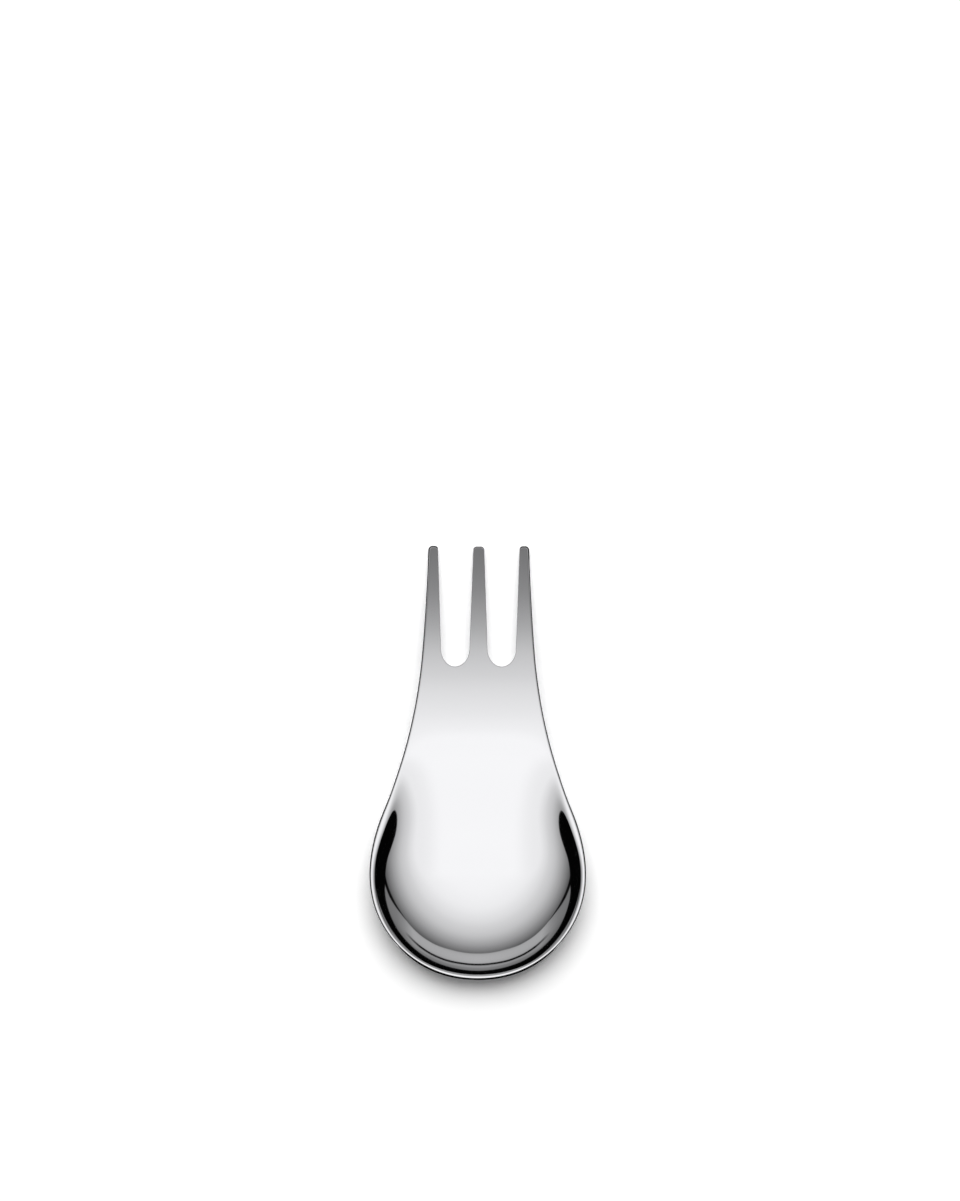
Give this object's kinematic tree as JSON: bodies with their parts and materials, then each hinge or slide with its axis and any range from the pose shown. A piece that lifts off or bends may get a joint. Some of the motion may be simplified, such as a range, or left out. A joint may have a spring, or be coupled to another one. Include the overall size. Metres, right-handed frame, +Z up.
{
  "type": "spork",
  "caption": "Short one-piece finger-food spork pressed from polished stainless sheet: a round dished bowl runs through a waisted neck into downturned tines.",
  "frame": {"origin": "on the table, under the middle of the spork's outline", "axes": "+Y from the lip of the bowl to the tips of the tines, +Z up out of the bowl, +X across to the right seen from above with the tines away"},
  "size_m": [0.043, 0.086, 0.0081],
  "materials": {
    "polished_steel": "polished"
  },
  "bodies": {
    "root": {"spork": "polished_steel"}
  },
  "joints": []
}
